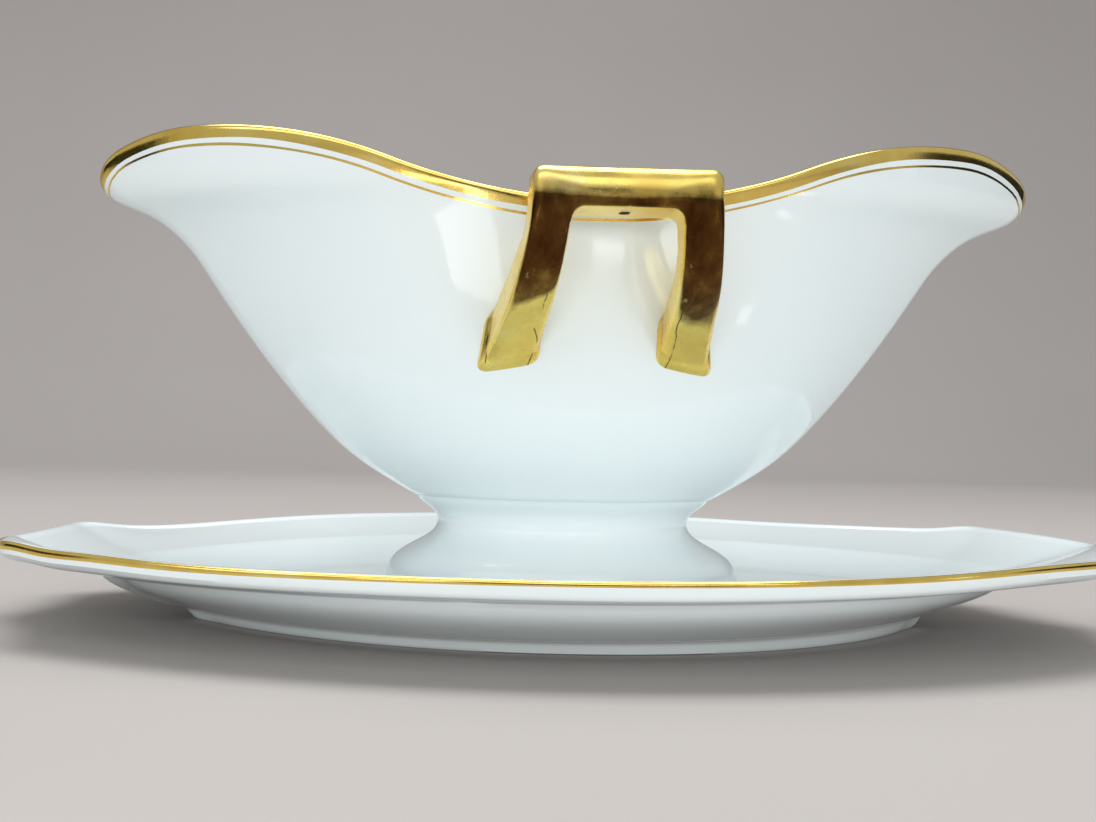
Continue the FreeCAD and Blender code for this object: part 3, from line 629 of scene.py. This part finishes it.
def edge_row(drop, inset):
    """A loop of the rounded edge, which is thinner amidships than at the tips."""
    row = stand_row(Loop(RIM_LEVEL, 1, -inset, wave=1))
    row[:, 2] -= drop * (1 - SLIM * (1 - (row[:, 0] / RIM[0]) ** 2))
    return row


def underside():
    """Rows from under the foot ring out to the rim, and how much painted shade some of them take in the
    creases.
    """
    rows = [stand_row(Loop(level, 0, spread, pinch=RING_PINCH)) for level, spread in RING_LOOPS]
    for rise, flare, pinch in RING_FACE:
        line = Loop(STEP.level * rise, 0, STEP.spread * flare, STEP.centre * rise, STEP.tip * rise)
        rows.append(stand_row(line._replace(pinch=pinch)))
    # Painted shade: the rows in each crease and just past it are darkened, where the brow's shadow falls.
    crease_shading = dict(enumerate((0.35, 1.0, 1.0, *CREASE_SHADE_FADE), len(rows) - 3))
    rows += brow(STEP) + tier(LOWER_TIER, LOWER_LOOPS)
    crease_shading |= enumerate((1.0, *CREASE_SHADE_FADE), len(rows) - 1)
    rows += brow(ROLL) + tier(UPPER_TIER, UPPER_LOOPS)
    return rows, crease_shading


def paint_crease_shade(stand, crease_shading, width):
    """Painted shade for the creases, on the points of some rows, each of them width points long."""
    crease_shade = stand.data.attributes.new("crease_shade", "FLOAT", "POINT")
    for row, amount in crease_shading.items():
        for column in range(width):
            crease_shade.data[row * width + column].value = amount


def build_stand():
    """The two-tiered stand with its gilded edge and its well for the foot."""
    under, crease_shading = underside()
    edge = [edge_row(drop, inset) for drop, inset in EDGE]
    rows = under + edge + tier(TOP_SIDE, TOP_LOOPS) + [stand_row(line) for line in WELL]
    row_material = [0] * (len(rows) - 1)
    row_material[BARE_BAND] = 2
    row_material[len(under) : len(under) + GILDED_BANDS] = [1] * GILDED_BANDS
    stand = skin("porcelain_stand", rows, row_material, [PORCELAIN, RIM_GOLD, BISQUE], crease=38)
    paint_crease_shade(stand, crease_shading, len(rows[0]))
    place(stand, "stand")


# ---------------------------------------------------------------------------
# Handles: a flat arch in (x, z), bent backwards along the strip to the bowl
# ---------------------------------------------------------------------------
REACH, TOP = 62.0, 90.7  # the outer face's distance from the boat's middle plane, and the bar's top
DROP = 3.2  # the strip falls straight this far, then bends
BEND, BEND_ANGLE = 25.5, math.radians(57)
TAIL = 24.0  # from there it runs straight, over this much of the flat arch
FOOT_LEVEL = TOP - DROP - BEND - TAIL
DEPTH = 8.2  # the strip's thickness
ARCH, SPLAY = 17.3, 120.0  # the arch's half width at the top, and the radius of its outer sides
LEG, TAPER = 7.2, 3.6  # a leg's width at the top, and how far its inner side leans out on the way down
BAR = 7.3  # the bar's height
UNDERSIDE = TOP - BAR
CORNER, SHOULDER = 2.2, 2.0  # radii of the arch's inner and outer corners
LEG_TOP = UNDERSIDE - CORNER
OUTER_SIDE = 85.0  # a level on the outer side, between the leg's top and the shoulder
SHOULDER_POINTS, BAR_SECTIONS = 9, 15
CORNER_SECTIONS = (90, 83, 75, 66, 58, 52.5, 49, 46, 43, 39.5, 35, 28, 19, 10, 0)  # degrees
UNDERCUT = 0.12  # the bar's underside falls towards the bowl by this share of its height

# A section's corners are, in this order: inner and outer at the outer face, outer and inner behind.
# Each has a radius along the width and one along the depth.
SECTION_CORNERS = ((0, 0), (1, 0), (1, 1), (0, 1))
LEG_RADII = np.array([(1.3, 1.2), (1.3, 1.2), (1.6, 1.8), (2.4, 3.4)])
BAR_RADII = np.array([(0.9, 0.9), (4.0, 1.9), (2.0, 2.0), (1.0, 1.0)])
CORNER_POINTS, FLAT_STEPS = 5, 5
BULGE = 0.3  # how far the outer face falls back at its two sides

BURIED = 0.5  # how far the legs run into the bowl
BEAD, BEAD_OUT, BEAD_RUN = 0.9, 0.4, 2.8  # a bead of glaze round each root: across, out and up the leg
BEAD_MIDDLE, BEAD_SPREAD = 0.4, 1.5  # the bead widens the leg both ways from this share of its width
ROOT_SHARE = 0.16  # the part of a leg with finer rows, for its bead
ROOT_ROWS, CLIMB_ROWS = 13, 26

VENT, VENT_SETBACK = 1.05, 5.0  # the vent's radius, and how far behind the outer face it is
DRILL_LENGTH, DRILL_SIDES = 5.0, 28

WEAR_AND_REFLECTION_FACING, WEAR_AND_REFLECTION_FACING_FADE = 0.35, 0.4  # a face gets wear and painted dark reflection where it looks this squarely outward
WEAR_AND_REFLECTION_TOP, WEAR_AND_REFLECTION_TOP_FADE = 83.0, 4.0  # and lies between these levels
WEAR_AND_REFLECTION_FOOT, WEAR_AND_REFLECTION_FOOT_FADE = 63.0, 3.5
LEFT_SLANT, LEFT_SLANT_START, LEFT_SLANT_RUN = 0.55, -20.0, 10.0  # the lower of them rises on the left
RIGHT_SLANT, RIGHT_SLANT_START = -0.2, 10.0  # and falls to the right
CRAZED_FACING, CRAZED_FACING_FADE = 0.2, 0.3
CRAZING_TOP, CRAZING_FADE = 71.0, 4.0


def strip_point(level, depth):
    """(y, z) behind the strip's outer face, at the flat arch's level and a depth, on the -Y side.

    The bar's underside is level, and further down a leg's sections turn square to the strip.
    """
    fall = TOP - DROP - level
    if fall <= 0:
        return depth - REACH, level
    steepest = math.sin(BEND_ANGLE)
    level_turn, square_turn = (math.asin(min(fall / (BEND - below), steepest)) for below in (depth, 0))
    tilt = np.clip((LEG_TOP - level) / DEPTH, 0, 1)
    turn = level_turn + (square_turn - level_turn) * tilt * tilt * (3 - 2 * tilt)
    tail = max(fall - BEND * steepest, 0) / math.cos(BEND_ANGLE)
    y = BEND - REACH - math.cos(turn) * (BEND - depth) + tail * math.sin(turn)
    return y, TOP - DROP - math.sin(turn) * (BEND - depth) - tail * math.cos(turn)


def leg_sides(level):
    """The inner and outer half widths of the flat arch at a level below its corners."""
    share = (UNDERSIDE - level) / (UNDERSIDE - FOOT_LEVEL)
    return ARCH - LEG + TAPER * share, ARCH + SPLAY - math.sqrt(SPLAY**2 - (TOP - level) ** 2)


def hull_beam(x, z):
    """The bowl's outer half width at a place along it and a level."""
    reach, beam, end = spline(HULL[:, 0], HULL[:, 1:], z)
    side = side_radius(reach, beam, end)
    return float(beam - side + math.sqrt(side**2 - x**2))


def section(width, radii):
    """A rounded oblong, as points of (share of its width, depth)."""
    corners = []
    for turn, ((u, d), radius) in enumerate(zip(SECTION_CORNERS, radii), 2):
        centre = np.array([u * width, d * DEPTH]) + radius * [1 - 2 * u, 1 - 2 * d]
        for angle in np.linspace(turn, turn + 1, CORNER_POINTS) * math.pi / 2:
            corners.append(centre + radius * [math.cos(angle), math.sin(angle)])
    points = []
    for i, (point, following) in enumerate(zip(corners, corners[1:] + corners[:1]), 1):
        flat = np.linspace(0, 1, FLAT_STEPS, endpoint=False) if i % CORNER_POINTS == 0 else [0]
        points += [point * (1 - t) + following * t for t in flat]
    points = np.array(points)
    points[:, 1] += BULGE * (2 * points[:, 0] / width - 1) ** 2 * (1 - points[:, 1] / DEPTH)
    return points / [width, 1]


def arch_sections():
    """(inner point, outer point, share of the bar's own section) from the left leg's top to the right's."""
    middle = np.array([ARCH - LEG - CORNER, LEG_TOP])
    shoulder = [
        (ARCH - SHOULDER + SHOULDER * math.cos(angle), TOP - SHOULDER + SHOULDER * math.sin(angle))
        for angle in np.linspace(0, math.pi / 2, SHOULDER_POINTS)
    ]
    side = [(leg_sides(level)[1], level) for level in (LEG_TOP, OUTER_SIDE)]
    outside = np.array([*side, *shoulder, (middle[0], TOP)])
    angles = np.arctan2(outside[:, 1] - middle[1], outside[:, 0] - middle[0])
    right = []
    for degrees in CORNER_SECTIONS:
        angle = math.radians(degrees)
        inner = middle + CORNER * np.array([math.cos(angle), math.sin(angle)])
        outer = np.array([np.interp(angle, angles, outside[:, axis]) for axis in (0, 1)])
        right.append((inner, outer, degrees / 90))
    left = [(inner * [-1, 1], outer * [-1, 1], share) for inner, outer, share in right]
    places = np.linspace(-middle[0], middle[0], BAR_SECTIONS)
    bar = [(np.array([x, UNDERSIDE]), np.array([x, TOP]), 1.0) for x in places]
    return left[::-1] + bar[1:-1] + right


def bent(inner, outer, profile):
    """The points of a section between two points of the flat arch."""
    points = []
    for share, depth in profile:
        x, level = inner + (outer - inner) * share
        points.append((x, *strip_point(level, depth)))
    return points


def root_level(share, depth):
    """How far down a line of the leg's surface runs before it is inside the bowl."""

    def is_clear(level):
        inner, outer = leg_sides(level)
        y, z = strip_point(level, depth)
        return -y > hull_beam(inner + (outer - inner) * share, z) - BURIED

    return last_before(FOOT_LEVEL, LEG_TOP, is_clear)


def leg_rows(sign):
    """Loops from the root up to the corner, each point running down to the bowl on its own line."""
    inner, outer = leg_sides(LEG_TOP)
    profile = section(outer - inner, LEG_RADII)
    roots = [root_level(share, depth) for share, depth in profile]
    fine, coarse = np.linspace(0, ROOT_SHARE, ROOT_ROWS), np.linspace(ROOT_SHARE, 1, CLIMB_ROWS)
    rows = []
    for climb in [*fine, *coarse[1:-1]]:
        row = []
        for (share, depth), root in zip(profile, roots):
            level = root + (LEG_TOP - root) * climb
            near = math.sqrt(max(1 - ((level - root) / math.cos(BEND_ANGLE) / BEAD_RUN) ** 2, 0))
            inner, outer = leg_sides(level)
            x = inner + (outer - inner) * share + BEAD * near * (share - BEAD_MIDDLE) * BEAD_SPREAD
            row.append((sign * x, *strip_point(level, depth - BEAD_OUT * near * (1 - depth / DEPTH))))
        rows.append(row)
    return rows


def rising(value, start, run):
    """0 up to a start, then rising to 1 over a run."""
    return np.clip((value - start) / run, 0, 1)


def paint_wear_and_reflection(handle):
    """How worn and how darkened by painted reflection the outer face is, between the bar and the straight
    tails, and how crazed, further down.
    """
    wear_and_reflection = handle.data.attributes.new("wear_and_reflection", "FLOAT", "POINT")
    crazing = handle.data.attributes.new("crazing", "FLOAT", "POINT")
    points = handle.data.vertices, handle.data.vertex_normals, wear_and_reflection.data, crazing.data
    for vertex, normal, worn_and_dark_reflected, crazed in zip(*points):
        front = 1 if vertex.co.y < 0 else -1
        across, height = vertex.co.x / MM * front, vertex.co.z / MM
        # Faces turned outward get the brown: a painted dark reflection as well as wear.
        outward = -normal.vector.y * front
        if across < 0:
            slant = LEFT_SLANT * np.clip(across - LEFT_SLANT_START, 0, LEFT_SLANT_RUN)
        else:
            slant = RIGHT_SLANT * (across - RIGHT_SLANT_START)
        upper = 1 - rising(height, WEAR_AND_REFLECTION_TOP, WEAR_AND_REFLECTION_TOP_FADE)
        lower = rising(height - slant, WEAR_AND_REFLECTION_FOOT, WEAR_AND_REFLECTION_FOOT_FADE)
        worn_and_dark_reflected.value = float(rising(outward, WEAR_AND_REFLECTION_FACING, WEAR_AND_REFLECTION_FACING_FADE) * upper * lower)
        below = rising(-height, -CRAZING_TOP, CRAZING_FADE)
        crazed.value = float(rising(outward, CRAZED_FACING, CRAZED_FACING_FADE) * below)


def drill_for(turn):
    """The cylinder that is taken out of a bar's underside, for its vent."""
    maker = bmesh.new()
    middle = Vector((0, turn * (VENT_SETBACK - REACH), UNDERSIDE)) * MM
    bmesh.ops.create_cone(
        maker, cap_ends=True, segments=DRILL_SIDES, radius1=VENT * MM, radius2=VENT * MM,
        depth=DRILL_LENGTH * MM, matrix=Matrix.Translation(middle),
    )
    return finish_mesh("drill", maker, [BORE_CLAY_AND_SHADE], crease=40)


def bore_vent(handle, turn):
    """A vent in the bar's underside, whose wall has the drill's material: dark unglazed clay with painted
    shade.
    """
    drill = drill_for(turn)
    pierced = handle.modifiers.new("vent", "BOOLEAN")
    pierced.operation, pierced.solver, pierced.object = "DIFFERENCE", "EXACT", drill
    pierced.material_mode = "TRANSFER"
    bpy.context.view_layer.update()
    solved = handle.evaluated_get(bpy.context.evaluated_depsgraph_get())
    mesh = bpy.data.meshes.new_from_object(solved)
    handle.modifiers.clear()
    handle.data = mesh
    bpy.data.objects.remove(drill)


def build_handle(name, node, turn):
    """A handle; turn is 1 for the front one and -1 for its twin at the rear, turned half round."""
    rows = []
    for inner, outer, bar in arch_sections():
        profile = section(np.linalg.norm(outer - inner), LEG_RADII * (1 - bar) + BAR_RADII * bar)
        profile[:, 0] -= UNDERCUT * bar * (1 - profile[:, 0]) * profile[:, 1] / DEPTH
        rows.append(bent(inner, outer, profile))
    rows = leg_rows(-1) + rows + leg_rows(1)[::-1]
    rows = [np.array(row) * [turn, turn, 1] for row in rows]
    handle = skin(name, rows, [0] * len(rows), [HANDLE_GOLD], crease=45)
    paint_wear_and_reflection(handle)
    bore_vent(handle, turn)
    place(handle, node)


build_bowl()
build_foot()
build_stand()
build_handle("gilded_front_handle", "front_handle", 1)
build_handle("gilded_rear_handle", "rear_handle", -1)

# ---------------------------------------------------------------------------
# Studio: floor, flags, lamps and sky, in metres and watts
# ---------------------------------------------------------------------------
FLOOR_NEAR, FLOOR_FAR, FLOOR_SIDE = -1.6, 0.9, 3.0
SWEEP, SWEEP_START, SWEEP_POINTS = 0.6, 0.08, 16  # the floor's curve up into the backdrop
BACKDROP_TOP = 3.0
FLOOR_TONES = [(0.3, (0.47, 0.44, 0.42)), (0.7, (0.49, 0.46, 0.44))]
FLAG_BLACK = (0.015, 0.015, 0.018, 1)
MIDDLE = (0, 0, 0.05)  # of the object, which the big lamps aim at
WINDOWS = (  # name, place, what it aims at, size and power
    ("left_window", (-0.093, -0.2185, 0.0415), (-0.027, -0.037, 0.082), (0.056, 0.025), 0.010),
    ("middle_window", (0.050, -0.25, 0.0512), (0.001, -0.039, 0.078), (0.036, 0.005), 0.0017),
    ("leg_window", (0.0975, -0.1955, 0.0575), (0.0135, -0.0385, 0.080), (0.021, 0.010), 0.0016),
    ("right_window", (0.176, -0.135, 0.031), (0.038, -0.035, 0.088), (0.014, 0.010), 0.0008),
)
SKY, SKY_STRENGTH = (0.96, 0.98, 1.0, 1), 0.5


def backdrop():
    """A pale floor that curves up into a backdrop."""
    maker = bmesh.new()
    profile = [(FLOOR_NEAR, 0.0), (FLOOR_FAR, 0.0)]
    for angle in np.linspace(SWEEP_START, math.pi / 2, SWEEP_POINTS):
        profile.append((FLOOR_FAR + SWEEP * math.sin(angle), SWEEP - SWEEP * math.cos(angle)))
    profile.append((FLOOR_FAR + SWEEP, BACKDROP_TOP))
    lines = [[maker.verts.new((x, y, z)) for x in (-FLOOR_SIDE, FLOOR_SIDE)] for y, z in profile]
    for low, high in zip(lines, lines[1:]):
        maker.faces.new((low[0], low[1], high[1], high[0]))
    made, tree, shader = material("floor")
    tone = ramp(tree, noise(tree, scale=3, detail=2), FLOOR_TONES)
    feed(tree, shader, {"Base Color": tone, "Roughness": 0.85})
    finish_mesh("floor", maker, [made], crease=60)


def flag(name, middle, turn, width, height):
    """A black card as studios use to darken reflections; the camera doesn't see it."""
    maker = bmesh.new()
    sides = ((-1, -1), (1, -1), (1, 1), (-1, 1))
    maker.faces.new([maker.verts.new((x * width / 2, 0, z * height / 2)) for x, z in sides])
    made, tree, shader = material(name)
    feed(tree, shader, {"Base Color": FLAG_BLACK, "Roughness": 0.9})
    card = finish_mesh(name, maker, [made], crease=60)
    card.location, card.rotation_euler = middle, (0, 0, math.radians(turn))
    card.visible_camera = False
    card.visible_diffuse = False
    card.visible_shadow = False


def lamp(name, at, aim, size, power, colour=(1, 1, 1)):
    """A rectangular lamp at a place, aimed at another."""
    light = bpy.data.lights.new(name, "AREA")
    light.shape = "RECTANGLE"
    light.size, light.size_y = size
    light.energy = power
    light.color = colour
    thing = bpy.data.objects.new(name, light)
    bpy.context.scene.collection.objects.link(thing)
    thing.location = at
    thing.rotation_mode = "QUATERNION"
    thing.rotation_quaternion = (Vector(aim) - Vector(at)).to_track_quat("-Z", "Y")
    return thing


def light_studio():
    """Three soft lamps, and small windows that give the glaze and the gold their highlights."""
    lamp("key", (-0.25, -1.1, 0.80), MIDDLE, size=(2.4, 0.5), power=4.2)
    lamp("top", (0, 0.1, 1.2), MIDDLE, size=(1.2, 0.8), power=12)
    low = lamp("low", (0, -1.3, 0.12), MIDDLE, size=(1.4, 0.2), power=6.6, colour=(1.0, 0.95, 0.93))
    low.visible_glossy = False
    for name, at, aim, size, power in WINDOWS:
        lamp(name, at, aim, size, power)


def light_sky():
    """An even sky round the studio."""
    world = bpy.data.worlds.new("studio")
    bpy.context.scene.world = world
    world.use_nodes = True
    feed(world.node_tree, world.node_tree.nodes["Background"], {"Color": SKY, "Strength": SKY_STRENGTH})


backdrop()
flag("front_flag", (0.1, -1.0, 0.115), turn=0, width=0.9, height=0.23)
flag("left_flag", (-1.3, 0.0, 0.15), turn=90, width=0.9, height=0.28)
flag("right_flag", (1.3, 0.0, 0.15), turn=90, width=0.9, height=0.28)
light_studio()
light_sky()
bpy.context.scene.view_settings.view_transform = "Standard"

# ---------------------------------------------------------------------------
# Camera, in metres
# ---------------------------------------------------------------------------
CAMERA_AT = (-0.05446, -0.29767, 0.04399)
YAW, PITCH, TILT = math.radians(3.23), math.radians(-0.6), math.radians(1.15)
SENSOR, FOCAL_LENGTH = 36.0, 44.1  # in millimetres
SHIFT_X, SHIFT_Y = 0.139, -0.00174
NEAREST, FARTHEST = 0.01, 20


def aim_camera():
    """The camera at the photograph's viewing angle."""
    lens = bpy.data.cameras.new("camera")
    lens.sensor_width = SENSOR
    lens.lens = FOCAL_LENGTH
    lens.shift_x, lens.shift_y = SHIFT_X, SHIFT_Y
    lens.clip_start, lens.clip_end = NEAREST, FARTHEST
    camera = bpy.data.objects.new("camera", lens)
    bpy.context.scene.collection.objects.link(camera)
    forward = Vector((math.sin(YAW) * math.cos(PITCH), math.cos(YAW) * math.cos(PITCH), -math.sin(PITCH)))
    level_right = Vector((math.cos(YAW), -math.sin(YAW), 0))
    level_up = level_right.cross(forward)
    right = level_right * math.cos(TILT) + level_up * math.sin(TILT)
    up = level_up * math.cos(TILT) - level_right * math.sin(TILT)
    axes = Matrix((right, up, -forward)).transposed()
    camera.matrix_world = Matrix.Translation(CAMERA_AT) @ axes.to_4x4()
    bpy.context.scene.camera = camera


aim_camera()
